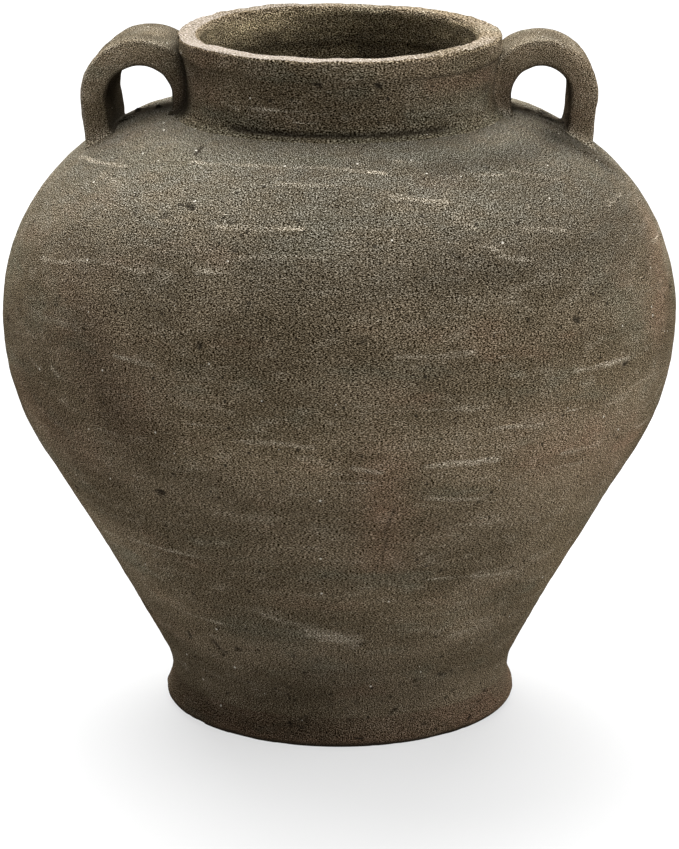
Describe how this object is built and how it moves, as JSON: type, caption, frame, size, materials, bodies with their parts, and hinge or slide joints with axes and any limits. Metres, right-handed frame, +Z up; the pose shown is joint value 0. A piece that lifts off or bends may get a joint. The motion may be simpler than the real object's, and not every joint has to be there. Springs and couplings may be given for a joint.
{
  "type": "vase",
  "caption": "Wide-bellied unglazed clay vase with a flared foot, short collar neck, flat rim and small strap handles arched from neck to shoulder; holds flowers or stands empty.",
  "frame": {"origin": "centre of the foot at table level", "axes": "+Z up along the vase's axis, handles towards +X and -X and set back a little, front towards -Y"},
  "size_m": [0.295, 0.295, 0.3],
  "materials": {
    "clay": "unglazed, matt, sandy"
  },
  "bodies": {
    "root": {"floor_disc": "clay", "foot_ring": "clay", "lower_body": "clay", "belly": "clay", "shoulder": "clay", "neck_collar": "clay", "rim_coil": "clay", "left_handle": "clay", "right_handle": "clay"}
  },
  "joints": []
}
